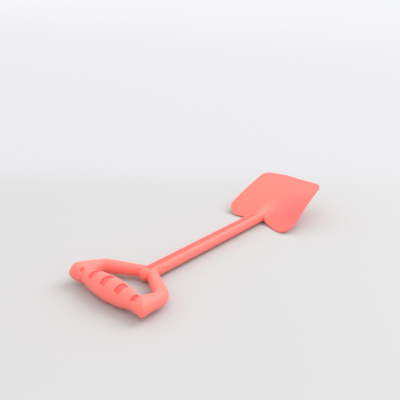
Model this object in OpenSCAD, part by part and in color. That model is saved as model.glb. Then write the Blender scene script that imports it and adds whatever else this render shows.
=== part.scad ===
// Sand shovel with a D-handle, lying face up. All lengths are in millimetres.
// The shaft runs along X with the blade at +X, the grip runs along Y and Z is up.
// The sub-parts are drawn about the grip's axis, and placed() then moves them all
// so that the origin is the middle of the shovel's footprint.

/* [Grip] */
// Diameter of the grip at its middle
grip_d = 29.6; // [26:0.2:34]
// Diameter of the grip where it meets the handle frame
grip_end_d = 18; // [16:0.2:19]
// Depth of the finger scallops round the grip
scallop_depth = 0.35; // [0:0.05:0.6]
// Number of windows along the top of the grip
window_count = 4; // [2:1:4]
// Distance between the middles of neighbouring windows, as a share of the grip's length
window_pitch_share = 0.278; // [0.23:0.002:0.28]
// Distance by which the second window stands off the grip's middle, as a share of the grip's length
window_shift_share = 0.031; // [0:0.001:0.04]
// Width of each window along the grip
window_w = 8; // [4:0.1:9]
// Angle that each window wraps round the grip
window_wrap = 66; // [40:1:90]
// Angle by which the windows lean from the top of the grip away from the blade
window_lean = 17; // [0:1:40]
// Wall of the sleeve round the core
sleeve_wall = 3; // [2:0.1:3.4]
// Diameter of the core's spigots
spigot_d = 9; // [6:0.1:10]
// Length of each spigot in its socket
spigot_len = 9; // [5:0.5:12]

/* [Handle frame] */
// Width of the handle over its elbows, at the grip's axis
handle_w = 124.4; // [118:0.2:134]
// Diameter of the elbows at the corners
corner_d = 22.2; // [22.1:0.1:25]
// Radius out to which the elbows' outer corners are rounded off
elbow_r = 14.6; // [13:0.1:16]
// Length of each seat between the grip and the middle of its corner
seat_len = 9.8; // [9.6:0.1:13]
// Angle by which the handle rises from the line of the shaft
handle_tilt = 4.1; // [0:0.1:4.5]
// Diameter of the side bars and seats where they meet the corners
side_d = 22; // [19:0.2:22.2]
// Diameter of the bars where they meet their bends
bar_d = 17.8; // [14:0.2:19.6]
// Diameter of the arms where they meet the hub
arm_d = 14; // [12:0.2:17]
// Distance from the grip's axis to the bends
bend_x = 31; // [26:0.1:34]
// Distance by which each bend stands out past the middle of its corner
bend_out = 1; // [-3:0.1:3]
// Radius of each bend along the middle of the bar
bend_r = 18; // [12:1:20]
// Extra diameter of the bends over the bars that run into them
bend_swell = 0.6; // [0.3:0.1:1.5]
// Distance from the grip's axis to the point where the arms meet
hub_x = 64; // [58:0.5:68]
// Length of the hub along the shaft
hub_len = 13.6; // [13:0.2:20]

/* [Shaft] */
// Diameter of the shaft and of the hub
shaft_d = 18; // [17:0.2:20]
// Width of the groove along the top and the bottom of the shaft
groove_w = 9; // [6:0.2:10]
// Depth of each groove
groove_depth = 4.2; // [3:0.1:4.6]
// Radius of the grooves' inner corners
groove_fillet = 1.6; // [0.8:0.1:2.4]
// Distance past the heel corners at which each groove has run out
groove_past = 18; // [6:1:22]
// Angle at which each groove runs out near the blade
runout_angle = 12; // [8:1:20]
// Wall between a groove and the slot for the shaft's tang
hub_wall = 1.9; // [1.4:0.1:2.1]
// Width of the tang that passes through the hub
tang_w = 11; // [9:0.2:12]
// Step from the hub's round down to the rounded cap on the tang
cap_step = 0.5; // [0.3:0.1:1.5]
// Length of the cap
cap_len = 9.8; // [9:0.1:11]
// Wall of the cap over the tang's end
cap_wall = 4; // [3.6:0.1:4.8]

/* [Blade] */
// Distance from the grip's axis to the blade's heel corners
heel_x = 284; // [240:1:330]
// Drop of the face below the shaft's axis at the heel corners
heel_drop = 6; // [3:0.2:7]
// Angle by which the blade rises from the line of the shaft
blade_tilt = 25.5; // [22:0.5:32]
// Length of the blade's sides from the heel corners to the tip corners
blade_len = 105; // [90:0.5:118]
// Width of the blade at its heel corners
heel_w = 119; // [104:1:126]
// Width of the blade at its tip corners
tip_w = 97; // [90:1:116]
// Distance by which the heel is notched forward beside the shaft
heel_notch = 4; // [1:0.5:8]
// Distance by which the middle of the tip stands out past its corners
tip_bow = 8.4; // [4:0.1:11]
// Radius of the heel corners
heel_corner = 20; // [10:0.5:24]
// Radius of the tip corners
tip_corner = 15; // [8:0.5:24]
// Thickness of the blade
blade_t = 2.4; // [1.8:0.1:3.2]
// Height of the blade's arch along its length
blade_crown = 3.4; // [1:0.1:4.5]
// Depth of the blade's dish across its width
blade_dish = 4.5; // [1:0.1:6]
// Wall of the cradle that holds the shaft's end behind the blade
cradle_wall = 2.4; // [1.8:0.1:3]
// Length of the cradle along the shaft
cradle_len = 27; // [22:1:34]
// Thickness of the keel under the cradle
keel_t = 4; // [3:0.5:6]
// Length of the keel's flat foot
keel_foot = 24; // [16:1:30]
// Distance by which the keel's front edge leans forward from its foot
keel_lean = 14; // [8:1:20]

/* [Fits] */
// Gap between pieces that fit inside one another
fit_gap = 0.1; // [0.05:0.01:0.2]

/* [Hidden] */
$fn = 96;

coral = [0.98, 0.46, 0.41];
deep_coral = [0.93, 0.31, 0.27];

// Overrun of every cut past the face that it opens, and of the bars into their bends
overrun = 1;
// Steps that draw the barrel's outline between its two ends
barrel_steps = 28;
// Steps that draw each rounded corner of the blade
corner_steps = 8;
// Steps that draw the bowed edge at the tip
bow_steps = 8;
// Facets of the wide drum that gives the blade its arch, and steps across its waist
drum_facets = 360;
dish_steps = 24;

// The grip's profile
corner_y = (handle_w - corner_d) / 2;
grip_half = corner_y - seat_len;
grip_len = 2 * grip_half;
window_pitch = window_pitch_share * grip_len;
window_shift = window_shift_share * grip_len;
window_floor_r = grip_end_d / 4;

function barrel_r(y) =
    grip_end_d / 2
    + (grip_d - grip_end_d) / 2 * (1 - pow(y / grip_half, 2))
    + scallop_depth * (cos(360 * y / window_pitch) - cos(360 * grip_half / window_pitch)) / 2;

// The frame's centre line
bend_y = corner_y + bend_out;
corner_at = [0, corner_y];
bend_at = [bend_x, bend_y];
hub_at = [hub_x, 0];
side_turn = atan2(bend_y - corner_y, bend_x);
arm_turn = atan2(-bend_y, hub_x - bend_x);
bend_turn = side_turn - arm_turn;
bend_reach = bend_r * tan(bend_turn / 2);
side_way = [cos(side_turn), sin(side_turn)];
arm_way = [cos(arm_turn), sin(arm_turn)];
bend_start = bend_at - bend_reach * side_way;
bend_end = bend_at + bend_reach * arm_way;
bend_centre = bend_start + bend_r * [sin(side_turn), -cos(side_turn)];
socket_depth = spigot_len + fit_gap;

// The hub, the tang and the cap
shaft_r = shaft_d / 2;
cap_d = shaft_d - 2 * cap_step;
hub_start = hub_x - hub_len / 2;
hub_end = hub_start + hub_len;
tang_t = shaft_d - 2 * (groove_depth + hub_wall) - 2 * fit_gap;
cap_nose = hub_start - cap_len;

// The blade's place: the face starts below the shaft's axis and rises along the tilt
heel_half = heel_w / 2;
tip_half = tip_w / 2;
heel_at = [heel_x, 0, -heel_drop];
crown_r = pow(blade_len, 2) / (8 * blade_crown) + blade_crown / 2;
drum_half = max(heel_half, tip_half) + overrun;
bow_r = pow(tip_half, 2) / (2 * tip_bow) + tip_bow / 2;
bow_turn = asin(tip_half / bow_r);

// The shaft ends behind the face, where the dished face has risen over its top
rise_to_top = (heel_drop + blade_dish + shaft_r) / tan(blade_tilt);
shaft_end = heel_x + rise_to_top;
cradle_start = shaft_end + cradle_wall - cradle_len;
groove_end = heel_x + groove_past;

blade_under = 2 * (blade_dish + blade_t);
blade_over = blade_crown + overrun;

// The floor that the shovel rests on, and the middle of its footprint
rest_h = grip_d / 2 + scallop_depth * (1 - cos(360 * grip_half / window_pitch)) / 2;
waist_r = crown_r - blade_dish;
tip_along = blade_len + tip_bow;
tip_rise = blade_crown - crown_r + sqrt(pow(waist_r, 2) - pow(tip_along - blade_len / 2, 2));
tip_reach = heel_x + tip_along * cos(blade_tilt) + (blade_t - tip_rise) * sin(blade_tilt);
grip_fore = hub_x * (1 - cos(handle_tilt));
middle_x = (tip_reach + grip_fore - rest_h) / 2;

// The shaft's axis runs lower than the grip's, which the handle's tilt lifts
floor_drop = rest_h - hub_x * sin(handle_tilt);

module placed() {
    translate([-middle_x, 0, floor_drop]) children();
}

// Tips what is drawn in the handle's own plane up about the hub
module tipped() {
    translate([hub_x, 0, 0])
        rotate([0, handle_tilt, 0])
            translate([-hub_x, 0, 0])
                children();
}

// A solid turned round the grip's axis from an outline of radius against place
module turned_grip(outline) {
    rotate([-90, 0, 0]) rotate_extrude() polygon(outline);
}

// Barrel outline, drawn in by a wall, from one end of the grip to the other
function barrel_outline(inset, reach) = concat(
    [[0, -reach]],
    [for (i = [0 : barrel_steps])
        let (share = 2 * i / barrel_steps - 1)
        [barrel_r(share * grip_half) - inset, share * reach]],
    [[0, reach]]
);

// Cut for one window, a curved slot over the top of the sleeve
module window_at(y) {
    translate([0, y, 0])
        rotate([-90, 0, 0])
            rotate([0, 0, -90 - window_lean - window_wrap / 2])
                rotate_extrude(angle = window_wrap)
                    translate([window_floor_r, -window_w / 2])
                        square([grip_d, window_w]);
}

module grip_sleeve() {
    color(coral) placed() tipped() difference() {
        turned_grip(barrel_outline(0, grip_half));
        turned_grip(barrel_outline(sleeve_wall, grip_half + fit_gap));
        for (i = [0 : window_count - 1])
            window_at(window_shift + (1 - i) * window_pitch);
    }
}

module grip_core() {
    color(deep_coral) placed() tipped() union() {
        turned_grip(barrel_outline(sleeve_wall + fit_gap, grip_half - fit_gap));
        translate([0, -grip_half - spigot_len, 0])
            rotate([-90, 0, 0])
                cylinder(h = grip_len + 2 * spigot_len, d = spigot_d);
    }
}

// A round bar that tapers from one point of the frame's plane to another
module bar(from, to, from_d, to_d) {
    span = to - from;
    translate([from[0], from[1], 0])
        rotate([0, 0, atan2(span[1], span[0])])
            rotate([0, 90, 0])
                cylinder(h = norm(span), d1 = from_d, d2 = to_d);
}

// The round bend between a side bar and its arm
module bend() {
    translate([bend_centre[0], bend_centre[1], 0])
        rotate([0, 0, 90 + side_turn - bend_turn])
            rotate_extrude(angle = bend_turn)
                translate([bend_r, 0])
                    circle(d = bar_d + bend_swell);
}

// Elbow at a corner: two crossing tubes, mitred, with the outer corner rounded off
module elbow() {
    translate([0, corner_y, 0]) intersection() {
        rotate([90, 0, 0])
            cylinder(h = 2 * corner_d, d = corner_d, center = true);
        rotate([0, 0, side_turn])
            rotate([0, 90, 0])
                cylinder(h = 2 * corner_d, d = corner_d, center = true);
        sphere(r = elbow_r);
    }
}

module frame_side() {
    elbow();
    translate([0, grip_half, 0])
        rotate([-90, 0, 0])
            cylinder(h = corner_y - grip_half, d = side_d);
    bar(corner_at, bend_start + overrun * side_way, side_d, bar_d);
    bend();
    bar(bend_end - overrun * arm_way, hub_at, bar_d, arm_d);
}

// Cross-section of the two grooves, for cuts along the shaft
module groove_outline() {
    floor_z = shaft_r - groove_depth;
    translate([-groove_w / 2, floor_z + groove_fillet])
        square([groove_w, groove_depth + overrun]);
    translate([-groove_w / 2 + groove_fillet, floor_z])
        square([groove_w - 2 * groove_fillet, groove_depth]);
    for (side = [-1, 1])
        translate([side * (groove_w / 2 - groove_fillet), floor_z + groove_fillet])
            circle(r = groove_fillet);
}

module groove_cut(from_x, to_x) {
    translate([from_x, 0, 0])
        rotate([90, 0, 90])
            linear_extrude(to_x - from_x) groove_outline();
}

// Both grooves, each with a floor that rises out of the shaft at to_x
module grooves(from_x, to_x) {
    runout = groove_depth / tan(runout_angle);
    for (face = [0, 1]) mirror([0, 0, face]) difference() {
        groove_cut(from_x, to_x);
        translate([to_x - runout, -groove_w, shaft_r - groove_depth])
            rotate([0, -runout_angle, 0])
                translate([0, 0, -shaft_r])
                    cube([2 * runout, 2 * groove_w, shaft_r]);
    }
}

module handle_frame() {
    color(coral) placed() difference() {
        union() {
            tipped() {
                frame_side();
                mirror([0, 1, 0]) frame_side();
            }
            translate([hub_start, 0, 0])
                rotate([0, 90, 0])
                    cylinder(h = hub_len, d = shaft_d);
        }
        tipped() for (side = [0, 1]) mirror([0, side, 0])
            translate([0, grip_half - overrun, 0])
                rotate([-90, 0, 0])
                    cylinder(h = socket_depth + overrun, d = spigot_d + 2 * fit_gap);
        translate([hub_start - overrun, -tang_w / 2 - fit_gap, -tang_t / 2 - fit_gap])
            cube([hub_len + 2 * overrun, tang_w + 2 * fit_gap, tang_t + 2 * fit_gap]);
        for (face = [0, 1]) mirror([0, 0, face])
            groove_cut(hub_start - overrun, hub_end + overrun);
        translate([cap_nose - overrun, 0, 0])
            rotate([0, 90, 0])
                cylinder(h = cap_len + overrun, d = cap_d + 2 * fit_gap);
        translate([hub_end, 0, 0])
            rotate([0, 90, 0])
                cylinder(h = shaft_d, d = shaft_d + 2 * fit_gap);
    }
}

module shaft_cap() {
    nose_r = cap_d / 2;
    color(coral) placed() difference() {
        translate([hub_start, 0, 0])
            rotate([0, -90, 0])
                rotate_extrude()
                    intersection() {
                        union() {
                            translate([0, cap_len - nose_r]) circle(r = nose_r);
                            translate([-nose_r, 0]) square([cap_d, cap_len - nose_r]);
                        }
                        square([nose_r, cap_len]);
                    }
        translate([cap_nose + cap_wall, -tang_w / 2 - fit_gap, -tang_t / 2 - fit_gap])
            cube([cap_len, tang_w + 2 * fit_gap, tang_t + 2 * fit_gap]);
    }
}

module shaft() {
    tang_start = cap_nose + cap_wall + fit_gap;
    color(coral) placed() {
        difference() {
            translate([hub_end, 0, 0])
                rotate([0, 90, 0])
                    cylinder(h = shaft_end - hub_end, d = shaft_d);
            grooves(hub_end - overrun, groove_end);
        }
        translate([tang_start, -tang_w / 2, -tang_t / 2])
            cube([hub_end + overrun - tang_start, tang_w, tang_t]);
    }
}

// Moves what is drawn on the blade's own plane to its place on the shaft
module on_blade() {
    translate(heel_at) rotate([0, -blade_tilt, 0]) children();
}

// Points of an arc of the given radius that rounds the corner b between a and c
function rounded(a, b, c, r, steps) =
    let (
        to_a = (a - b) / norm(a - b),
        to_c = (c - b) / norm(c - b),
        half = acos(to_a * to_c) / 2,
        reach = r / tan(half),
        first = b + reach * to_a,
        last = b + reach * to_c,
        centre = b + (to_a + to_c) / norm(to_a + to_c) * r / sin(half),
        from = first - centre,
        to = last - centre
    )
    [for (i = [0 : steps])
        let (
            share = i / steps,
            sweep = 180 - 2 * half,
            spoke = (from * sin((1 - share) * sweep) + to * sin(share * sweep)) / sin(sweep)
        )
        centre + spoke];

// Half of the blade's outline, from the middle of the heel to the middle of the tip
function blade_half() =
    let (
        neck = [heel_notch, shaft_r],
        heel = [0, heel_half],
        tip = [blade_len, tip_half],
        bow_side = [blade_len + bow_r * (cos(bow_turn / 2) - cos(bow_turn)), bow_r * sin(bow_turn / 2)]
    )
    concat(
        [neck],
        rounded(neck, heel, tip, heel_corner, corner_steps),
        rounded(heel, tip, bow_side, tip_corner, corner_steps),
        [for (i = [1 : bow_steps])
            let (turn = bow_turn / 2 * (1 - i / bow_steps))
            [blade_len + bow_r * (cos(turn) - cos(bow_turn)), bow_r * sin(turn)]]
    );

module blade_outline() {
    half = blade_half();
    count = len(half);
    polygon(concat(half, [for (i = [count - 2 : -1 : 0]) [half[i][0], -half[i][1]]]));
}

// Wide waisted drum under the blade: its round gives the arch and its waist the dish
module drum(skin) {
    outline = [
        for (i = [0 : dish_steps])
            let (share = 2 * i / dish_steps - 1)
            [crown_r - skin - blade_dish * (1 - pow(share * drum_half / heel_half, 2)), share * drum_half]
    ];
    translate([blade_len / 2, 0, blade_crown - crown_r])
        rotate([-90, 0, 0])
            rotate_extrude($fn = drum_facets)
                polygon(concat([[0, -drum_half]], outline, [[0, drum_half]]));
}

module blade() {
    cradle_d = shaft_d + 2 * cradle_wall;
    foot_x = cradle_start + cradle_wall;
    keel_reach = keel_foot + keel_lean;
    keel_top = floor_drop + (foot_x + keel_reach - heel_x) * tan(blade_tilt);
    color(coral) placed() difference() {
        union() {
            on_blade() intersection() {
                translate([0, 0, -blade_under])
                    linear_extrude(blade_under + blade_over) blade_outline();
                difference() {
                    drum(0);
                    drum(blade_t);
                }
            }
            intersection() {
                on_blade() drum(blade_t / 2);
                translate([cradle_start - shaft_d, -cradle_d, -floor_drop])
                    cube([2 * blade_len, 2 * cradle_d, blade_len]);
                union() {
                    translate([cradle_start, 0, 0])
                        rotate([0, 90, 0])
                            cylinder(h = cradle_len - cradle_wall, d = cradle_d);
                    translate([cradle_start + cradle_len - cradle_wall, 0, 0])
                        sphere(d = cradle_d);
                    translate([foot_x, keel_t / 2, -floor_drop])
                        rotate([90, 0, 0])
                            linear_extrude(keel_t)
                                polygon([[0, -overrun], [keel_foot, -overrun], [keel_reach, keel_top], [0, keel_top]]);
                }
            }
        }
        translate([cradle_start - shaft_d, 0, 0])
            rotate([0, 90, 0])
                cylinder(h = shaft_end + fit_gap - cradle_start + shaft_d, d = shaft_d + 2 * fit_gap);
    }
}

grip_sleeve();
grip_core();
handle_frame();
shaft_cap();
shaft();
blade();
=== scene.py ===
"""A sand shovel in coral polypropylene, lying face up on a pale floor under soft light."""
import math

import bmesh
import bpy
from mathutils import Matrix, Vector


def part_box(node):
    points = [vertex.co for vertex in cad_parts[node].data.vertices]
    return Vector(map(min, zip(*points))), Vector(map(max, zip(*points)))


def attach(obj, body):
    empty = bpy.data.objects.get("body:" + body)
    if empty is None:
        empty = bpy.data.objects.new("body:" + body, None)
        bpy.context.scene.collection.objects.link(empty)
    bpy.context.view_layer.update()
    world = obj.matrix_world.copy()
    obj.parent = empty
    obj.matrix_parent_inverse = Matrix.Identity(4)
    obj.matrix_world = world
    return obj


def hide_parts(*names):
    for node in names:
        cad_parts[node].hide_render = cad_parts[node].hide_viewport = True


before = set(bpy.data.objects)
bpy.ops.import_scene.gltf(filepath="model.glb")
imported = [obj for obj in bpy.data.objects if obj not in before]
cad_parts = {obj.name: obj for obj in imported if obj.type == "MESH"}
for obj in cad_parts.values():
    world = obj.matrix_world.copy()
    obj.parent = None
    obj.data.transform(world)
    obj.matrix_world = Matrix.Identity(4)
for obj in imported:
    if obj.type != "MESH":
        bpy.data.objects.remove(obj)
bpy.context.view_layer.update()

scene = bpy.context.scene
MM = 0.001

# Grip: a barrel with a scalloped swell and a row of windows along its top, round a core
GRIP_R = 14.8 * MM
GRIP_END_R = 9 * MM
SCALLOP = 0.35 * MM
SLEEVE_WALL = 2 * MM
RIM_ROUND = 0.45 * MM
WINDOW_COUNT = 4
WINDOW_PITCH = 22.96 * MM
FIRST_WINDOW = 25.52 * MM
WINDOW_PLACES = [FIRST_WINDOW - i * WINDOW_PITCH for i in range(WINDOW_COUNT)]
WINDOW_W = 8.7 * MM
WINDOW_LIP = 0.9 * MM
WINDOW_LEAN = math.radians(17)
CORNER_DRAW = 0.4 * MM
CORNER_TURN_SHARE = 0.28
CORE_DEPTH = 1.9 * MM
CORE_PAST = 4.4 * MM

# Cages of the sleeve and the core: WINDOW_SIDES go from a window's middle to its edge
GRIP_SIDES = 38
WINDOW_SIDES = 4
RING_GAP = 0.5 * MM
END_RING_SHARES = (0.84, 0.92)
CORE_SIDES = 64
CORE_STEPS = 40

# Handle frame: where two values stand, 1 is the half on +Y and -1 the other
HANDLE_TILT = math.radians(4.1)
HANDLE_HALF = 62.2 * MM
CORNER_R = 11.1 * MM
ELBOW_Y = HANDLE_HALF - CORNER_R
ELBOW_R = {1: 15.2 * MM, -1: 13.3 * MM}
ELBOW_SLACK = 1 * MM
SEAT_R = {1: 11 * MM, -1: 11.9 * MM}
SEAT_END_R = 9.7 * MM
FULL_ELBOW_R = 11.9 * MM
FULL_ELBOW_SHIFT = Vector((-1, 1.6, 1.9)) * MM
FLOW_SHARE = 0.78
BAR_R = 8.9 * MM
ARM_R = 7 * MM
BEND_X = 31 * MM
BEND_Y = 52.1 * MM
BEND_R = 18 * MM
BEND_STEPS = 8
HUB_X = 64 * MM
HUB_LEN = 13.6 * MM
HUB_LAP = 5 * MM
HUB_EASE = 0.07 * MM

# Each notch in a seat: both its ends along the grip, half its wrap, its depth and its further lean
SEAT_NOTCHES = (
    (-46 * MM, -40 * MM, math.radians(39), 4.6 * MM, 0),
    (42.4 * MM, 45.6 * MM, math.radians(16), 3 * MM, math.radians(16)),
)
NOTCH_ROUND = 0.8 * MM

# Shaft and cap
SHAFT_R = 9 * MM
SHAFT_START = HUB_X + HUB_LEN / 2
SHAFT_END = 322 * MM
SHAFT_FACE_SHARE = 0.985
SHAFT_TIP_SHARE = 0.7
FACE_EASE = 0.3 * MM
TIP_EASE = 4 * MM
BAR_STEPS = 16
GROOVE_W = 7.4 * MM
GROOVE_DEPTH = 3.7 * MM
GROOVE_FILLET = 1 * MM
GROOVE_LIP = 1 * MM
GROOVE_END = 303 * MM
GROOVE_RUN = 22 * MM
RUN_STEPS = 22
CAP_R = 8.5 * MM
CAP_LEN = 9.8 * MM

# Blade: where two values stand, 1 is the half on +Y and -1 the other
HEEL_X = 284 * MM
HEEL_DROP = 6 * MM
HEEL_HALF = 58.6 * MM
HEEL_CORNER = 20 * MM
TIP_HALF = 50.3 * MM
TIP_BOW = 8.4 * MM
TIP_CORNER = 13 * MM
SKEW_TIP = {1: -1.4 * MM, -1: 3 * MM}
SKEW_HEEL = {1: 1.8 * MM, -1: -2.2 * MM}
NECK_NOTCH = 7.5 * MM
NECK_REACH = 22 * MM
BLADE_TILT = math.radians(25.5)
BLADE_TWIST = math.radians(-1.4)
BLADE_LEN = 105 * MM
BLADE_T = 2.4 * MM
BLADE_CROWN = 3.4 * MM
BLADE_DISH = 5.5 * MM
BLADE_ROUND = 0.7 * MM
FLOOR_GAP = 0.5 * MM
ROWS = 72
COLUMNS = 80
HEEL_STEPS = 24
ARC_STEPS = 12
BOW_STEPS = 20

# The blade's sweep over the shaft, and where along it the sheet comes up to cover the shaft
FILLET = 11 * MM
COVER_FROM = 300 * MM
COVER_TO = 308 * MM
COVER_RISE = 0.05 * MM
COVER_SINK = 1.1 * MM

# Cradle and keel
CRADLE_R = 11.4 * MM
CRADLE_START = 300.3 * MM
CRADLE_END = 324.9 * MM
KEEL_SETBACK = 2.4 * MM
KEEL_T = 4 * MM
KEEL_TOP = 20 * MM
KEEL_FOOT = 24 * MM
KEEL_LEAN = 14 * MM
KEEL_SPARE = 1 * MM

# How finely round forms are drawn, and how close two places count as one
TUBE_SIDES = 48
BALL_RINGS = 24
FILLET_STEPS = 4
ROUND_STEPS = 7
FACE_SEARCH_STEPS = 6
BLEND_SEARCH_STEPS = 30
VOXEL = 0.7 * MM
NEAR = 0.05 * MM
NEAR_TURN = 0.01
MERGE = 0.01 * MM
SHARP = math.radians(50)

# Plastic: each pair is a main tone and a second one: the second is for the clouds on the coral and the
# core, and a painted shade on part of the sheet
CORAL_TONES = ((0.99, 0.203, 0.163, 1), (0.98, 0.189, 0.15, 1))
# Thin sheet: its own slightly deeper coral, and a painted shade on the low half of one side
SHEET_AND_SHADE_TONES = ((0.99, 0.184, 0.144, 1), (0.99, 0.138, 0.128, 1))
# Core: its own deeper coral, made darker still as painted shade of the window floors
DEEP_CORAL_AND_SHADE_TONES = ((0.96, 0.102, 0.092, 1), (0.94, 0.09, 0.082, 1))
CLOUDS = {"Scale": 22, "Detail": 3}
GRAIN = {"Detail": 4}
GRAIN_SCALE = 900
GRAIN_BUMP = {"Strength": 0.12, "Distance": 0.2 * MM}
ROUGHNESS = (0.44, 0.58)
POLYPROPYLENE = {
    "IOR": 1.49, "Subsurface Weight": 0.12, "Subsurface Scale": 1,
    "Subsurface Radius": (4 * MM, 1.5 * MM, 1 * MM),
}

# Where the sheet's painted shade fades, in shares of half its width and then of its length
ASIDE_SHARES = (-0.75, 0.1)
TIPWARD_SHARES = (0.4, 0.85)
HEEL_SHARES = (0, 0.3)
# Share of the painted shade at the very heel
HEEL_SHADE_SHARE = 0.25

# Share of the colour that is left on the groove's floor, where it is darkened as painted shade
GROOVE_SHADE_SHARES = (1, 0.66, 0.68, 1)
# Where that painted shade fades: past the walls, from the shaft's top and its axis, by the hub and at
# the end
WALL_FADE = (-0.6 * MM, 0.1 * MM)
TOP_FADE = (-3.4 * MM, -2.5 * MM)
AXIS_FADE = (2 * MM, 3 * MM)
HUB_FADE = (-1 * MM, 1 * MM)
END_FADE = (-4 * MM, 0)

# Share of a shown floor tone that the floor's own colour has under this light
FLOOR_SHARE = 0.652
# The shown tones from left to right, near and far, then at the back, and the metres they change over
NEAR_TONES = ((0.745, 0.735, 0.725), (0.812, 0.802, 0.798))
NEAR_SPAN = (-0.42, 0.35)
FAR_TONES = ((0.8, 0.8, 0.822), (0.832, 0.828, 0.846))
FAR_SPAN = (-0.9, 0.7)
BACK_TONE = (0.895, 0.895, 0.91)
SWEEP_SPAN = (0.16, 0.36)
BACK_SPAN = (0.4, 4.5)
TO_RIGHT = (0.72, -0.695, 0)
TO_BACK = (0.695, 0.72, 0)
FLOOR_SIZE = 40
FLOOR_FINISH = {"Roughness": 0.9, "Specular IOR Level": 0.1}

# Light and camera
SKY_COLOUR = (0.985, 0.99, 1, 1)
SKY_STRENGTH = (1.12, 1.28)
SKY_SPAN = (-0.1, 0.9)
LAMP_STRENGTH = 1.45
LAMP_SPREAD = math.radians(40)
LAMP_TURN = (math.radians(14), math.radians(42), 0)
CAMERA_YAW = math.radians(39.53)
CAMERA_PITCH = math.radians(23.01)
CAMERA_ROLL = math.radians(2.37)
CAMERA_PLACE = (-543.47 * MM, -419.36 * MM, 358.72 * MM)
CAMERA_LENS = 50.4
CAMERA_SENSOR = 36

# Places that come from the frame: the shaft's own lines run along its axis, from the grip
sleeve_low, sleeve_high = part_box("grip_sleeve")
shaft_low, shaft_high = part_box("shaft")
cap_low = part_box("shaft_cap")[0]
grip_half = (sleeve_high.y - sleeve_low.y) / 2
cap_nose = HUB_X - HUB_LEN / 2 - CAP_LEN
floor_drop = (shaft_high.z + shaft_low.z) / 2
base = Matrix.Translation((cap_low.x - cap_nose, 0, floor_drop))
hub_at = Vector((HUB_X, 0, 0))
tipped = Matrix.Translation(hub_at) @ Matrix.Rotation(HANDLE_TILT, 4, "Y") @ Matrix.Translation(-hub_at)


# Editing by hand: what is picked is picked by its place

def deselect():
    if bpy.context.mode != "OBJECT":
        bpy.ops.object.mode_set(mode="OBJECT")
    bpy.ops.object.select_all(action="DESELECT")


def activate(piece):
    """Makes one piece the selected and active one"""
    deselect()
    bpy.context.view_layer.objects.active = piece
    piece.select_set(True)


def edit(piece):
    """Opens one piece in edit mode with nothing selected"""
    activate(piece)
    bpy.ops.object.mode_set(mode="EDIT")
    bpy.ops.mesh.select_all(action="DESELECT")


def edit_all(piece):
    """Opens one piece in edit mode with all of it selected"""
    edit(piece)
    bpy.ops.mesh.select_all(action="SELECT")


def pick(piece, kind, wanted):
    """Selects the vertices or faces whose middle passes a test"""
    bpy.ops.mesh.select_mode(type={"verts": "VERT", "faces": "FACE"}[kind])
    bpy.ops.mesh.select_all(action="DESELECT")
    mesh = bmesh.from_edit_mesh(piece.data)
    for item in getattr(mesh, kind):
        middle = item.co if kind == "verts" else item.calc_center_median()
        item.select_set(wanted(middle))
    mesh.select_flush_mode()
    bmesh.update_edit_mesh(piece.data)


def start(name):
    """Names the primitive that was just added and applies its place"""
    piece = bpy.context.object
    piece.name = name
    piece.data.name = name
    bpy.ops.object.transform_apply(location=True, rotation=True, scale=True)
    return piece


def turn(angle, pivot):
    """Turns what is selected about Z; with no window the operator turns the other way"""
    bpy.ops.transform.rotate(value=-angle, orient_axis="Z", center_override=pivot)


def grow(factor, pivot, along=(1, 1, 1)):
    """Scales what is selected from a point, along the axes that are flagged"""
    value = [factor if flag else 1 for flag in along]
    bpy.ops.transform.resize(value=value, center_override=pivot)


def sweep_ring(shift=None, angle=None, pivot=None):
    """Extrudes the selected ring, then moves or turns the new one"""
    bpy.ops.mesh.extrude_region_move()
    if shift is not None:
        bpy.ops.transform.translate(value=shift)
    if angle is not None:
        turn(angle, pivot)


def apply_modifier(piece, kind, **settings):
    """Adds a modifier with its settings and applies it"""
    activate(piece)
    modifier = piece.modifiers.new(kind.lower(), kind)
    for name, value in settings.items():
        setattr(modifier, name, value)
    bpy.ops.object.modifier_apply(modifier=modifier.name)


def round_edges(piece, width, segments):
    apply_modifier(
        piece, "BEVEL", width=width, segments=segments, limit_method="ANGLE", angle_limit=SHARP)


def fuse(piece):
    """Turns joined solids into one even skin"""
    apply_modifier(piece, "REMESH", mode="VOXEL", voxel_size=VOXEL)


def relax(piece, times):
    apply_modifier(piece, "SMOOTH", factor=0.5, iterations=times)


def cutting_block(size, edge_r, segments):
    """A block with rounded edges, at the origin"""
    bpy.ops.mesh.primitive_cube_add(size=1, location=(0, 0, 0))
    cutter = start("cutting_block")
    cutter.data.transform(Matrix.Diagonal((*size, 1)))
    round_edges(cutter, edge_r, segments)
    return cutter


def cut_away(piece, cutter):
    apply_modifier(piece, "BOOLEAN", object=cutter, operation="DIFFERENCE", solver="EXACT")
    bpy.data.objects.remove(cutter)


def tidy_mesh(piece):
    """Merges doubles and points every face outwards"""
    edit_all(piece)
    bpy.ops.mesh.remove_doubles(threshold=MERGE)
    bpy.ops.mesh.normals_make_consistent(inside=False)
    deselect()


def join(pieces):
    deselect()
    for piece in pieces:
        piece.select_set(True)
    bpy.context.view_layer.objects.active = pieces[0]
    bpy.ops.object.join()
    return pieces[0]


def shade(piece, angle=40):
    """Shades smoothly over every edge that turns less than an angle in degrees"""
    activate(piece)
    bpy.ops.object.shade_smooth_by_angle(angle=math.radians(angle))


def dress(piece, node, material):
    """Gives a finished piece its material and its place in the frame"""
    piece.data.materials.clear()
    piece.data.materials.append(material)
    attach(piece, "root")
    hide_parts(node)


# Node trees

def link(tree, source, target):
    tree.links.new(source, target)


def node_at(tree, kind, **settings):
    made = tree.nodes.new(kind)
    for name, value in settings.items():
        setattr(made, name, value)
    return made


def set_sockets(node, values):
    for name, value in values.items():
        node.inputs[name].default_value = value


def ramp_at(tree, source, span, first=0, last=1, smooth=True):
    """A value that goes from first to last while the source goes through a span"""
    way = "SMOOTHSTEP" if smooth else "LINEAR"
    made = node_at(tree, "ShaderNodeMapRange", interpolation_type=way)
    low, high = span
    set_sockets(made, {"From Min": low, "From Max": high, "To Min": first, "To Max": last})
    link(tree, source, made.inputs["Value"])
    return made.outputs["Result"]


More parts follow.
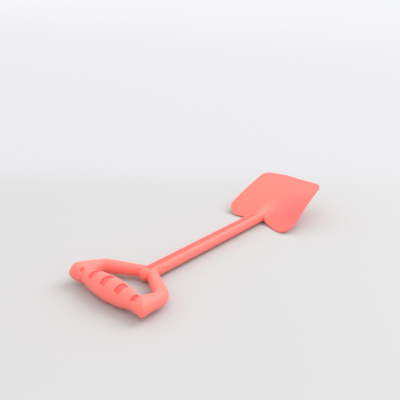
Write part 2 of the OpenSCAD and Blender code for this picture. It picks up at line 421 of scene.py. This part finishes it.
def times_at(tree, first, second):
    made = node_at(tree, "ShaderNodeMath", operation="MULTIPLY")
    link(tree, first, made.inputs[0])
    link(tree, second, made.inputs[1])
    return made.outputs["Value"]


def mix_at(tree, factor, first, second, kind="RGBA", **settings):
    """A mix of two sources or plain colours"""
    made = node_at(tree, "ShaderNodeMix", data_type=kind, **settings)
    link(tree, factor, made.inputs["Factor"])
    for socket, value in (("A", first), ("B", second)):
        if isinstance(value, tuple):
            made.inputs[socket].default_value = value
        else:
            link(tree, value, made.inputs[socket])
    return made.outputs["Result"]


def noise_at(tree, place, values):
    made = node_at(tree, "ShaderNodeTexNoise")
    set_sockets(made, values)
    link(tree, place, made.inputs["Vector"])
    return made


def parts_at(tree, place):
    """The three coordinates of a place"""
    apart = node_at(tree, "ShaderNodeSeparateXYZ")
    link(tree, place, apart.inputs["Vector"])
    return apart.outputs["X"], apart.outputs["Y"], apart.outputs["Z"]


def new_group(name, inputs, outputs):
    """A node group with its sockets, and its exit"""
    group = bpy.data.node_groups.new(name, "ShaderNodeTree")
    for in_out, sockets in (("INPUT", inputs), ("OUTPUT", outputs)):
        for socket, kind in sockets.items():
            group.interface.new_socket(name=socket, in_out=in_out, socket_type="NodeSocket" + kind)
    return group, node_at(group, "NodeGroupOutput")


def new_material(name):
    """A material with its tree and its shader"""
    material = bpy.data.materials.new(name)
    material.use_nodes = True
    tree = material.node_tree
    return material, tree, tree.nodes["Principled BSDF"]


# Materials

def frame_x(x):
    """Where a place along the shaft's own line lies in the frame"""
    return (base @ Vector((x, 0, 0))).x


def sheet_shade_mask(group, place):
    """Share of painted shade on the thin sheet: most on the low half of one side, which turns away from
    the light
    """
    x, y, _ = parts_at(group, place)

    def fade(source, at, length, shares, first, last):
        span = [at + share * length for share in shares]
        return ramp_at(group, source, span, first, last)
    aside = fade(y, 0, HEEL_HALF, ASIDE_SHARES, 1, 0)
    tipward = fade(x, frame_x(HEEL_X), BLADE_LEN, TIPWARD_SHARES, 1, 0)
    from_heel = fade(x, frame_x(HEEL_X), BLADE_LEN, HEEL_SHARES, HEEL_SHADE_SHARE, 1)
    return times_at(group, aside, times_at(group, tipward, from_heel))


def groove_shade_mask(group, place):
    """Share of the groove's painted shade: all of it on the groove's floor, none on the shaft's round"""
    x, y, z = parts_at(group, place)
    off_axis = node_at(group, "ShaderNodeMath", operation="ABSOLUTE")
    link(group, y, off_axis.inputs[0])

    def fade(source, at, offsets, first=0, last=1):
        return ramp_at(group, source, [at + offset for offset in offsets], first, last)
    across = fade(off_axis.outputs["Value"], GROOVE_W / 2, WALL_FADE, 1, 0)
    below_top = fade(z, floor_drop + SHAFT_R, TOP_FADE, 1, 0)
    over_axis = fade(z, floor_drop, AXIS_FADE)
    from_hub = fade(x, frame_x(HUB_X - HUB_LEN / 2), HUB_FADE)
    to_end = fade(x, frame_x(GROOVE_END), END_FADE, 1, 0)
    depth = times_at(group, times_at(group, across, below_top), over_axis)
    return times_at(group, depth, times_at(group, from_hub, to_end))


def moulded_group():
    """Colour and surface variation of moulded plastic, with painted shade on the sheet and on the
    groove's floor, from the object's own coordinates
    """
    inputs = {"Colour": "Color", "Shade": "Color", "Scale": "Float", "Sheet_Shade": "Float"}
    outputs = {"Colour": "Color", "Roughness": "Float", "Height": "Float"}
    group, leave = new_group("moulded_plastic_and_painted_shade", inputs, outputs)
    entry = node_at(group, "NodeGroupInput")
    place = node_at(group, "ShaderNodeTexCoord").outputs["Object"]
    clouds = noise_at(group, place, CLOUDS).outputs["Fac"]
    # On the thin sheet the painted shade takes the place of the clouds
    spread = mix_at(group, entry.outputs["Sheet_Shade"], clouds, sheet_shade_mask(group, place), "FLOAT")
    tone = mix_at(group, spread, entry.outputs["Colour"], entry.outputs["Shade"])
    # Painted shade darkens the groove's floor
    colour = mix_at(group, groove_shade_mask(group, place), tone, GROOVE_SHADE_SHARES, blend_type="MULTIPLY")
    link(group, colour, leave.inputs["Colour"])
    grain = noise_at(group, place, GRAIN)
    link(group, entry.outputs["Scale"], grain.inputs["Scale"])
    roughness = ramp_at(group, grain.outputs["Fac"], (0, 1), *ROUGHNESS, smooth=False)
    link(group, roughness, leave.inputs["Roughness"])
    link(group, grain.outputs["Fac"], leave.inputs["Height"])
    return group


# With sheet=1 the second tone is laid as painted shade on the thin sheet instead of as clouds
def plastic(name, tones, group, sheet=0):
    material, tree, shader = new_material(name)
    surface = node_at(tree, "ShaderNodeGroup", node_tree=group)
    set_sockets(surface, {"Colour": tones[0], "Shade": tones[1], "Scale": GRAIN_SCALE, "Sheet_Shade": sheet})
    bump = node_at(tree, "ShaderNodeBump")
    set_sockets(bump, GRAIN_BUMP)
    link(tree, surface.outputs["Colour"], shader.inputs["Base Color"])
    link(tree, surface.outputs["Roughness"], shader.inputs["Roughness"])
    link(tree, surface.outputs["Height"], bump.inputs["Height"])
    link(tree, bump.outputs["Normal"], shader.inputs["Normal"])
    set_sockets(shader, POLYPROPYLENE)
    return material


surface_group = moulded_group()
coral = plastic("coral_polypropylene", CORAL_TONES, surface_group)
thin_coral_with_painted_shade = plastic("coral_sheet_with_painted_shade", SHEET_AND_SHADE_TONES, surface_group, sheet=1)
deep_coral_and_shade = plastic("deep_coral_polypropylene", DEEP_CORAL_AND_SHADE_TONES, surface_group)


# The grip: a barrel with windows over its top, round a core

def barrel_r(y):
    wave = math.cos(math.tau * y / WINDOW_PITCH) - math.cos(math.tau * grip_half / WINDOW_PITCH)
    return GRIP_END_R + (GRIP_R - GRIP_END_R) * (1 - (y / grip_half) ** 2) + SCALLOP * wave / 2


def barrel_rings():
    """Places of the cage's rings along the grip: three at every window edge and some between"""
    web = WINDOW_PITCH - WINDOW_W
    rings = {-grip_half, grip_half, grip_half - WINDOW_LIP, WINDOW_LIP - grip_half}
    for middle in WINDOW_PLACES:
        rings.add(middle)
        for side in (-1, 1):
            edge = middle + side * WINDOW_W / 2
            rings.update((edge, edge + side * WINDOW_LIP, edge - side * WINDOW_LIP))
            rings.add(edge + side * web / 3)
    rings.update(share * grip_half for share in END_RING_SHARES)
    inside = sorted(place for place in rings if abs(place) <= grip_half)
    kept = [inside[0]]
    for place in inside[1:]:
        if place - kept[-1] > RING_GAP:
            kept.append(place)
    kept[-1] = grip_half
    return kept


def window_angle(p):
    """Angle round the grip from the middle of the windows"""
    return math.atan2(p.x, p.z) + WINDOW_LEAN


def round_corners(piece, half_turn, inward):
    """Draws each window's corner points in, so that its corners come out round"""
    for vertex in piece.data.vertices:
        angle = window_angle(vertex.co)
        for middle in WINDOW_PLACES:
            off_edge = abs(abs(vertex.co.y - middle) - WINDOW_W / 2)
            if off_edge < NEAR and abs(abs(angle) - half_turn) < NEAR_TURN:
                vertex.co = Matrix.Rotation(-math.copysign(inward, angle), 3, "Y") @ vertex.co
                vertex.co.y += math.copysign(CORNER_DRAW, middle - vertex.co.y)


def make_grip():
    """The sleeve: a cage with its windows cut out, given a wall and then made smooth"""
    bpy.ops.mesh.primitive_cylinder_add(
        vertices=GRIP_SIDES, radius=1, depth=2 * grip_half, end_fill_type="NOTHING",
        location=(0, 0, 0), rotation=(math.pi / 2, 0, 0))
    piece = start("grip_barrel")
    piece.data.transform(Matrix.Rotation(-WINDOW_LEAN, 4, "Y"))
    edit(piece)
    for y in barrel_rings()[1:-1]:
        bpy.ops.mesh.select_all(action="SELECT")
        bpy.ops.mesh.bisect(plane_co=(0, y, 0), plane_no=(0, 1, 0))
    for y in barrel_rings():
        pick(piece, "verts", lambda p: abs(p.y - y) < NEAR)
        grow(barrel_r(y), (0, y, 0), (1, 0, 1))
    side_turn = math.tau / GRIP_SIDES
    half_turn = side_turn * WINDOW_SIDES

    def in_window(p):
        beside = any(abs(p.y - middle) < WINDOW_W / 2 for middle in WINDOW_PLACES)
        return beside and abs(window_angle(p)) < half_turn
    pick(piece, "faces", in_window)
    bpy.ops.mesh.delete(type="FACE")
    deselect()
    round_corners(piece, half_turn, CORNER_TURN_SHARE * side_turn)
    piece.data.transform(base @ tipped)
    tidy_mesh(piece)
    apply_modifier(piece, "SOLIDIFY", thickness=SLEEVE_WALL, offset=-1)
    round_edges(piece, RIM_ROUND, 2)
    apply_modifier(piece, "SUBSURF", levels=2, render_levels=2)
    shade(piece)
    dress(piece, "grip_sleeve", coral)


def make_core():
    """The deeper coral barrel that shows through the windows, its tone partly its own deeper plastic and
    partly painted shade of the window floors
    """
    bpy.ops.mesh.primitive_cylinder_add(
        vertices=CORE_SIDES, radius=1, depth=2 * grip_half,
        location=(0, 0, 0), rotation=(math.pi / 2, 0, 0))
    piece = start("inner_core")
    edit(piece)
    for i in range(1, CORE_STEPS):
        bpy.ops.mesh.select_all(action="SELECT")
        bpy.ops.mesh.bisect(plane_co=(0, grip_half * (2 * i / CORE_STEPS - 1), 0), plane_no=(0, 1, 0))
    deselect()
    for vertex in piece.data.vertices:
        radius = barrel_r(vertex.co.y) - CORE_DEPTH
        vertex.co.x *= radius
        vertex.co.z *= radius
        if vertex.co.y < NEAR - grip_half:
            vertex.co.y -= CORE_PAST
    piece.data.transform(base @ tipped)
    shade(piece)
    dress(piece, "grip_core", deep_coral_and_shade)


# The handle frame: mitred elbows, side bars, bends and arms that meet in a hub

def frame_side(side):
    """One half of the frame, drawn on +Y: side says which half it's for"""
    corner = Vector((0, ELBOW_Y, 0))
    bend = Vector((BEND_X, BEND_Y, 0))
    side_way = (bend - corner).normalized()
    arm_way = (hub_at - bend).normalized()
    bend_angle = side_way.angle(arm_way)
    reach = BEND_R * math.tan(bend_angle / 2)
    bend_centre = bend - reach * side_way + BEND_R * Vector((side_way.y, -side_way.x, 0))
    half = Vector((0, 1, 0)).angle(side_way) / 2
    begin = Vector((0, grip_half, 0))
    bpy.ops.mesh.primitive_circle_add(
        vertices=TUBE_SIDES, radius=SEAT_END_R, fill_type="NOTHING",
        location=begin, rotation=(math.pi / 2, 0, 0))
    piece = start("handle_side")
    edit_all(piece)
    bpy.ops.mesh.edge_face_add()
    sweep_ring(shift=corner - begin)
    grow(CORNER_R / SEAT_END_R, corner)
    grow(1 / math.cos(half), corner, (1, 0, 0))
    turn(-half, corner)
    sweep_ring()
    turn(half, corner)
    grow(math.cos(half) * SEAT_R[side] / CORNER_R, corner, (1, 0, 0))
    grow(SEAT_R[side] / CORNER_R, corner, (0, 0, 1))
    turn(-2 * half, corner)
    bpy.ops.transform.translate(value=bend - reach * side_way - corner)
    grow(BAR_R / SEAT_R[side], bend - reach * side_way)
    for _ in range(BEND_STEPS):
        sweep_ring(angle=-bend_angle / BEND_STEPS, pivot=bend_centre)
    arm_start = bend + reach * arm_way
    sweep_ring(shift=hub_at - arm_start)
    grow(ARM_R / BAR_R, hub_at)
    deselect()
    return piece


def elbow_fullness():
    """A ball on the elbow on +Y, with a cone to its side bar and one to its seat"""
    elbow = Vector((0, ELBOW_Y, 0)) + FULL_ELBOW_SHIFT
    bpy.ops.mesh.primitive_uv_sphere_add(
        segments=TUBE_SIDES, ring_count=BALL_RINGS, radius=FULL_ELBOW_R, location=elbow)
    made = [start("full_elbow")]
    on_bar = elbow.lerp(Vector((BEND_X, BEND_Y, 0)), FLOW_SHARE)
    for far, radius in ((on_bar, BAR_R), (Vector((0, grip_half, 0)), SEAT_END_R)):
        way = far - elbow
        bpy.ops.mesh.primitive_cone_add(
            vertices=TUBE_SIDES, radius1=FULL_ELBOW_R, radius2=radius, depth=way.length,
            location=(elbow + far) / 2, rotation=way.to_track_quat("Z", "Y").to_euler())
        made.append(start("elbow_flow"))
    return made


def trim_elbows(piece):
    """Brings each elbow's outer corner back to a round"""
    for vertex in piece.data.vertices:
        side = math.copysign(1, vertex.co.y)
        corner = tipped @ Vector((0, side * ELBOW_Y, 0))
        out = vertex.co - corner
        outer = out.x < ELBOW_SLACK and out.y * side > -ELBOW_SLACK
        if outer and out.length > ELBOW_R[side]:
            vertex.co = corner + out.normalized() * ELBOW_R[side]


def cut_notches(piece):
    """Cuts the seats from above, where the sleeve's end windows run on"""
    for low, high, wrap, depth, lean in SEAT_NOTCHES:
        size = (2 * CORNER_R * math.sin(wrap), high - low, CORNER_R)
        cutter = cutting_block(size, NOTCH_ROUND, 3)
        cutter.data.transform(Matrix.Translation((0, (low + high) / 2, 1.5 * CORNER_R - depth)))
        cutter.data.transform(Matrix.Rotation(-WINDOW_LEAN - lean, 4, "Y"))
        cutter.data.transform(tipped)
        cut_away(piece, cutter)


def cut_grooves(piece):
    """Carries the shaft's two grooves on through the hub"""
    for side in (-1, 1):
        size = (4 * HUB_LEN, GROOVE_W, 2 * GROOVE_DEPTH)
        cutter = cutting_block(size, GROOVE_FILLET, FILLET_STEPS)
        cutter.data.transform(Matrix.Translation((HUB_X + HUB_LEN, 0, side * SHAFT_R)))
        cut_away(piece, cutter)


def make_handle():
    halves = [frame_side(1), frame_side(-1)]
    halves[1].data.transform(Matrix.Diagonal((1, -1, 1, 1)))
    piece = join(halves + elbow_fullness())
    tidy_mesh(piece)
    piece.data.transform(tipped)
    bpy.ops.mesh.primitive_cylinder_add(
        vertices=TUBE_SIDES, radius=SHAFT_R - HUB_EASE, depth=HUB_LEN + HUB_LAP,
        location=(HUB_X + HUB_LAP / 2, 0, 0), rotation=(0, math.pi / 2, 0))
    piece = join([piece, start("hub")])
    piece.name = "d_handle"
    fuse(piece)
    trim_elbows(piece)
    relax(piece, 6)
    cut_notches(piece)
    cut_grooves(piece)
    fuse(piece)
    relax(piece, 4)
    piece.data.transform(base)
    shade(piece, 60)
    dress(piece, "handle_frame", coral)


# The shaft: a round bar with a groove along its top and bottom

def section_arc(middle_y, middle_z, radius, first, last, steps):
    """Points of an arc in the shaft's section, with both its ends"""
    turns = [first + (last - first) * i / steps for i in range(steps + 1)]
    return [(middle_y + radius * math.cos(a), middle_z + radius * math.sin(a)) for a in turns]


def shaft_section():
    """Points round the shaft's section, from the middle of the upper groove"""
    wall, foot = GROOVE_W / 2, SHAFT_R - GROOVE_DEPTH
    fillet_y = wall - GROOVE_FILLET
    lip_y = wall + GROOVE_LIP
    lean = math.asin(lip_y / (SHAFT_R - GROOVE_LIP))
    lip_z = (SHAFT_R - GROOVE_LIP) * math.cos(lean)
    upright = math.pi / 2
    quarter = [(0, foot), (fillet_y / 2, foot)]
    quarter += section_arc(fillet_y, foot + GROOVE_FILLET, GROOVE_FILLET, -upright, 0, FILLET_STEPS)
    quarter += section_arc(lip_y, lip_z, GROOVE_LIP, math.pi, upright - lean, ROUND_STEPS)
    quarter += section_arc(0, 0, SHAFT_R, upright - lean, 0, ROUND_STEPS)[1:-1]
    right = quarter + [(SHAFT_R, 0)] + [(y, -z) for y, z in reversed(quarter)]
    return right + [(-y, z) for y, z in reversed(right[1:-1])]


def shaft_stations(run_start):
    """Places of the rings along the shaft, after the one at its start"""
    bar_steps = range(1, BAR_STEPS + 1)
    run_steps = range(1, RUN_STEPS + 1)
    bar = [SHAFT_START + (run_start - SHAFT_START) * i / BAR_STEPS for i in bar_steps]
    run = [run_start + GROOVE_RUN * i / RUN_STEPS for i in run_steps]
    tip = [GROOVE_END + TIP_EASE, SHAFT_END - TIP_EASE, SHAFT_END]
    return [SHAFT_START + FACE_EASE] + bar + run + tip


def end_share(x):
    """Share of the section that is left at a place along the shaft: less at its two ends"""
    if x > SHAFT_END - NEAR:
        return SHAFT_TIP_SHARE
    return SHAFT_FACE_SHARE if x < SHAFT_START + NEAR else 1


def make_shaft():
    section = shaft_section()
    bpy.ops.mesh.primitive_circle_add(vertices=len(section), radius=SHAFT_R, fill_type="NOTHING")
    piece = start("shaft_bar")
    for vertex, (y, z) in zip(piece.data.vertices, section):
        vertex.co = (SHAFT_START, y, z)
    edit_all(piece)
    bpy.ops.mesh.edge_face_add()
    run_start = GROOVE_END - GROOVE_RUN
    here = SHAFT_START
    for place in shaft_stations(run_start):
        sweep_ring(shift=(place - here, 0, 0))
        here = place
    deselect()
    for vertex in piece.data.vertices:
        co = vertex.co
        if abs(co.y) < GROOVE_W / 2 + 2 * GROOVE_LIP:
            rise = max(0, co.x - run_start) * GROOVE_DEPTH / GROOVE_RUN
            round_z = math.sqrt(max(0, SHAFT_R ** 2 - co.y ** 2))
            co.z = math.copysign(min(round_z, abs(co.z) + rise), co.z)
        co.y *= end_share(co.x)
        co.z *= end_share(co.x)
    tidy_mesh(piece)
    piece.data.transform(base)
    shade(piece)
    dress(piece, "shaft", coral)


def make_cap():
    """The rounded end that closes the shaft inside the handle"""
    rim_x = cap_nose + CAP_R
    bpy.ops.mesh.primitive_uv_sphere_add(
        segments=TUBE_SIDES, ring_count=BALL_RINGS, radius=CAP_R,
        location=(rim_x, 0, 0), rotation=(0, math.pi / 2, 0))
    piece = start("end_cap")
    edit(piece)
    pick(piece, "verts", lambda p: p.x > rim_x + NEAR)
    bpy.ops.mesh.delete(type="VERT")
    pick(piece, "verts", lambda p: abs(p.x - rim_x) < NEAR)
    sweep_ring(shift=(CAP_LEN - CAP_R, 0, 0))
    bpy.ops.mesh.edge_face_add()
    deselect()
    tidy_mesh(piece)
    piece.data.transform(base)
    shade(piece)
    dress(piece, "shaft_cap", coral)


# The blade: a curved sheet, arched along its length and dished across its width

def face_height(along, across):
    crown_r = BLADE_LEN ** 2 / (8 * BLADE_CROWN) + BLADE_CROWN / 2
    round_r = crown_r - BLADE_DISH * (1 - (across / HEEL_HALF) ** 2)
    return BLADE_CROWN - crown_r + math.sqrt(round_r ** 2 - (along - BLADE_LEN / 2) ** 2)


def on_shaft(along, across, height):
    """The place, on the shaft's own lines, of a point given on the blade's plane"""
    x = HEEL_X + along * math.cos(BLADE_TILT) - height * math.sin(BLADE_TILT)
    z = -HEEL_DROP + along * math.sin(BLADE_TILT) + height * math.cos(BLADE_TILT)
    return Vector((x, across, z))


def face_z(x, y):
    """Height of the bare face over a place on the shaft's lines, found by closing in on it"""
    along = (x - HEEL_X) / math.cos(BLADE_TILT)
    for _ in range(FACE_SEARCH_STEPS):
        there = on_shaft(along, y, face_height(along, y))
        along += (x - there.x) / math.cos(BLADE_TILT)
    return on_shaft(along, y, face_height(along, y)).z


def blended_z(p):
    """Height of the face where it runs up to and over the shaft in one smooth sweep"""
    if math.hypot(p.y, p.z) - SHAFT_R > FILLET or p.z > SHAFT_R + FILLET / 2:
        return p.z

    def outside(z):
        sheet = (z - p.z) * math.cos(BLADE_TILT)
        bar = math.hypot(p.y, z) - SHAFT_R
        blend = max(FILLET - abs(sheet - bar), 0) / FILLET
        return min(sheet, bar) - blend * blend * FILLET / 4
    low, high = p.z, p.z + 3 * SHAFT_R
    for _ in range(BLEND_SEARCH_STEPS):
        middle = (low + high) / 2
        if outside(middle) < 0:
            low = middle
        else:
            high = middle
    return high


def smooth_step(value, low, high):
    share = min(1, max(0, (value - low) / (high - low)))
    return share * share * (3 - 2 * share)


def arc_points(before, corner, after, radius):
    """Points of the arc that rounds a corner of the outline"""
    to_a, to_c = (before - corner).normalized(), (after - corner).normalized()
    half = to_a.angle(to_c) / 2
    middle = corner + (to_a + to_c).normalized() * radius / math.sin(half)
    first = corner + to_a * radius / math.tan(half) - middle
    last = corner + to_c * radius / math.tan(half) - middle
    return [middle + first.slerp(last, i / ARC_STEPS) * radius for i in range(ARC_STEPS + 1)]


def heel_line(y):
    """How far forward the heel's edge stands, with a notch beside the shaft"""
    off = max(0, abs(y) - SHAFT_R)
    return NECK_NOTCH * math.exp(-(off / NECK_REACH) ** 2)


def outline_half():
    """Half of the outline, from the heel's middle to the tip's, and where its corners' middles are"""
    heel = Vector((0, HEEL_HALF, 0))
    tip = Vector((BLADE_LEN, TIP_HALF, 0))
    bow_r = TIP_HALF ** 2 / (2 * TIP_BOW) + TIP_BOW / 2
    bow_turn = math.asin(TIP_HALF / bow_r)

    def bow(angle):
        ahead = bow_r * (math.cos(angle) - math.cos(bow_turn))
        return Vector((BLADE_LEN + ahead, bow_r * math.sin(angle), 0))
    heel_arc = arc_points(Vector((0, SHAFT_R, 0)), heel, tip, HEEL_CORNER)
    tip_arc = arc_points(heel, tip, bow(bow_turn / 2), TIP_CORNER)
    line = [Vector((0, heel_arc[0].y * i / HEEL_STEPS, 0)) for i in range(HEEL_STEPS)]
    line += heel_arc + tip_arc
    last = math.asin(tip_arc[-1].y / bow_r)
    line += [bow(last * (1 - i / BOW_STEPS)) for i in range(1, BOW_STEPS + 1)]
    for point in line:
        if point.x < BLADE_LEN / 4:
            point.x += heel_line(point.y) * (1 - smooth_step(point.x, 0, BLADE_LEN / 4))
    heel_mid = HEEL_STEPS + ARC_STEPS // 2
    tip_mid = heel_mid + len(heel_arc)
    return line, heel_mid, tip_mid


def resample(points, count):
    """Points at even steps along a line"""
    lengths = [0]
    for a, b in zip(points, points[1:]):
        lengths.append(lengths[-1] + (b - a).length)
    made = []
    at = 0
    for i in range(count + 1):
        wanted = lengths[-1] * i / count
        while at < len(points) - 2 and lengths[at + 1] < wanted:
            at += 1
        share = (wanted - lengths[at]) / (lengths[at + 1] - lengths[at])
        made.append(points[at].lerp(points[at + 1], share))
    return made


def flat_place(cell, heel_edge, side_edge, tip_edge):
    """Where a corner of the unit grid lies on the blade's plane, inside the outline"""
    row = round(cell.x * ROWS)
    column = round(abs(cell.y) * COLUMNS)
    u, v = row / ROWS, 2 * column / COLUMNS
    axis = heel_edge[0].lerp(tip_edge[0], u)
    spread = axis.lerp(side_edge[row], v) + heel_edge[column].lerp(tip_edge[column], u)
    corners = heel_edge[0].lerp(heel_edge[-1], v).lerp(tip_edge[0].lerp(tip_edge[-1], v), u)
    place = spread - corners
    side = math.copysign(1, cell.y)
    skew = SKEW_HEEL[side] + (SKEW_TIP[side] - SKEW_HEEL[side]) * u
    skew *= smooth_step(place.y, SHAFT_R, TIP_HALF)
    return place.x + skew, place.y * side, 0


def raised_place(flat):
    """Where a point of the blade's plane lies on the finished face"""
    place = on_shaft(flat.x, flat.y, face_height(flat.x, flat.y))
    z = blended_z(place)
    if abs(place.y) < SHAFT_R and z > place.z:
        cover = smooth_step(place.x, COVER_FROM, COVER_TO)
        z = max(z + COVER_RISE * cover - COVER_SINK * (1 - cover), place.z)
    sway = math.tan(BLADE_TWIST) * smooth_step(abs(place.y), SHAFT_R, HEEL_HALF) * place.y
    sway *= smooth_step(place.x, HEEL_X - BLADE_LEN / 3, HEEL_X + BLADE_LEN / 2)
    return place.x, place.y, max(z + sway, BLADE_T + FLOOR_GAP - floor_drop)


def make_blade():
    line, heel_mid, tip_mid = outline_half()
    heel_edge = resample(line[:heel_mid + 1], COLUMNS // 2)
    side_edge = resample(line[heel_mid:tip_mid + 1], ROWS)
    tip_edge = resample(line[tip_mid:][::-1], COLUMNS // 2)
    bpy.ops.mesh.primitive_grid_add(
        x_subdivisions=ROWS, y_subdivisions=COLUMNS, size=1, location=(0.5, 0, 0))
    piece = start("scoop_blade")
    for vertex in piece.data.vertices:
        vertex.co = flat_place(vertex.co, heel_edge, side_edge, tip_edge)
        vertex.co = raised_place(vertex.co)
    apply_modifier(piece, "SOLIDIFY", thickness=BLADE_T, offset=-1)
    round_edges(piece, BLADE_ROUND, 3)
    apply_modifier(piece, "SUBSURF", levels=1, render_levels=1)
    piece.data.transform(base)
    shade(piece)
    dress(piece, "blade", thin_coral_with_painted_shade)


def make_cradle():
    """The round cradle and the keel under the blade, cut off by the blade and by the floor"""
    bpy.ops.mesh.primitive_cylinder_add(
        vertices=TUBE_SIDES, radius=CRADLE_R, depth=CRADLE_END - CRADLE_START,
        location=((CRADLE_START + CRADLE_END) / 2, 0, 0), rotation=(0, math.pi / 2, 0))
    round_part = start("cradle")
    bpy.ops.mesh.primitive_uv_sphere_add(
        segments=TUBE_SIDES, ring_count=BALL_RINGS, radius=CRADLE_R, location=(CRADLE_END, 0, 0),
        rotation=(0, math.pi / 2, 0))
    end_part = start("cradle_end")
    foot_x = CRADLE_START + KEEL_SETBACK
    bpy.ops.mesh.primitive_cube_add(size=1, location=(foot_x + KEEL_FOOT / 2, 0, 0))
    keel = start("keel")
    for vertex in keel.data.vertices:
        front, upper = vertex.co.x > foot_x + KEEL_FOOT / 2, vertex.co.z > 0
        vertex.co = (
            foot_x + front * (KEEL_FOOT + upper * KEEL_LEAN),
            math.copysign(KEEL_T / 2, vertex.co.y),
            KEEL_TOP if upper else -floor_drop - KEEL_SPARE)
    piece = join([round_part, end_part, keel])
    piece.name = "blade_keel"
    fuse(piece)
    relax(piece, 2)
    for vertex in piece.data.vertices:
        co = vertex.co
        roof = face_z(co.x, co.y) - BLADE_T / 2
        co.z = max(-floor_drop, min(co.z, roof))
    tidy_mesh(piece)
    edit_all(piece)
    bpy.ops.mesh.dissolve_degenerate(threshold=MERGE)
    deselect()
    piece.data.transform(base)
    shade(piece, 50)
    dress(piece, "blade", coral)


make_grip()
make_core()
make_handle()
make_shaft()
make_cap()
make_blade()
make_cradle()


# Floor, light and camera

def tone_group():
    """Floor tones: a cooler, lighter sweep beyond a line on the floor, darker to the left"""
    group, leave = new_group("floor_tone", {}, {"Colour": "Color"})
    place = node_at(group, "ShaderNodeTexCoord").outputs["Object"]

    def way_along(direction, span, smooth=True):
        dot = node_at(group, "ShaderNodeVectorMath", operation="DOT_PRODUCT")
        dot.inputs[1].default_value = direction
        link(group, place, dot.inputs[0])
        return ramp_at(group, dot.outputs["Value"], span, smooth=smooth)

    def floor_colour(tone):
        return tuple(FLOOR_SHARE * part for part in tone) + (1,)

    def left_to_right(tones, span):
        left, right = tones
        return mix_at(group, way_along(TO_RIGHT, span, False), floor_colour(left), floor_colour(right))
    near = left_to_right(NEAR_TONES, NEAR_SPAN)
    far = left_to_right(FAR_TONES, FAR_SPAN)
    swept = mix_at(group, way_along(TO_BACK, SWEEP_SPAN), near, far)
    tone = mix_at(group, way_along(TO_BACK, BACK_SPAN), swept, floor_colour(BACK_TONE))
    link(group, tone, leave.inputs["Colour"])
    return group


def make_floor():
    bpy.ops.mesh.primitive_plane_add(size=FLOOR_SIZE, location=(0, 0, 0))
    floor = start("floor")
    material, tree, shader = new_material("pale_floor")
    set_sockets(shader, FLOOR_FINISH)
    tone = node_at(tree, "ShaderNodeGroup", node_tree=tone_group())
    link(tree, tone.outputs["Colour"], shader.inputs["Base Color"])
    floor.data.materials.append(material)


def make_light():
    """A sky that is brighter overhead, and one wide lamp"""
    world = bpy.data.worlds.new("studio")
    scene.world = world
    world.use_nodes = True
    tree = world.node_tree
    sky = tree.nodes["Background"]
    sky.inputs["Color"].default_value = SKY_COLOUR
    place = node_at(tree, "ShaderNodeTexCoord").outputs["Generated"]
    _, _, height = parts_at(tree, place)
    link(tree, ramp_at(tree, height, SKY_SPAN, *SKY_STRENGTH), sky.inputs["Strength"])
    lamp = bpy.data.lights.new("overhead_softbox", "SUN")
    lamp.energy = LAMP_STRENGTH
    lamp.angle = LAMP_SPREAD
    holder = bpy.data.objects.new("overhead_softbox", lamp)
    holder.rotation_euler = LAMP_TURN
    scene.collection.objects.link(holder)


def make_camera():
    level_share = math.cos(CAMERA_PITCH)
    ahead = Vector((
        math.cos(CAMERA_YAW) * level_share, math.sin(CAMERA_YAW) * level_share, -math.sin(CAMERA_PITCH)))
    level = Vector((math.sin(CAMERA_YAW), -math.cos(CAMERA_YAW), 0))
    upright = level.cross(ahead)
    right = level * math.cos(CAMERA_ROLL) + upright * math.sin(CAMERA_ROLL)
    up = upright * math.cos(CAMERA_ROLL) - level * math.sin(CAMERA_ROLL)
    camera = bpy.data.objects.new("camera", bpy.data.cameras.new("camera"))
    camera.data.sensor_width = CAMERA_SENSOR
    camera.data.lens = CAMERA_LENS
    turned = Matrix((right, up, -ahead)).transposed().to_4x4()
    camera.matrix_world = Matrix.Translation(CAMERA_PLACE) @ turned
    scene.collection.objects.link(camera)
    scene.camera = camera


make_floor()
make_light()
make_camera()
scene.view_settings.view_transform = "Standard"
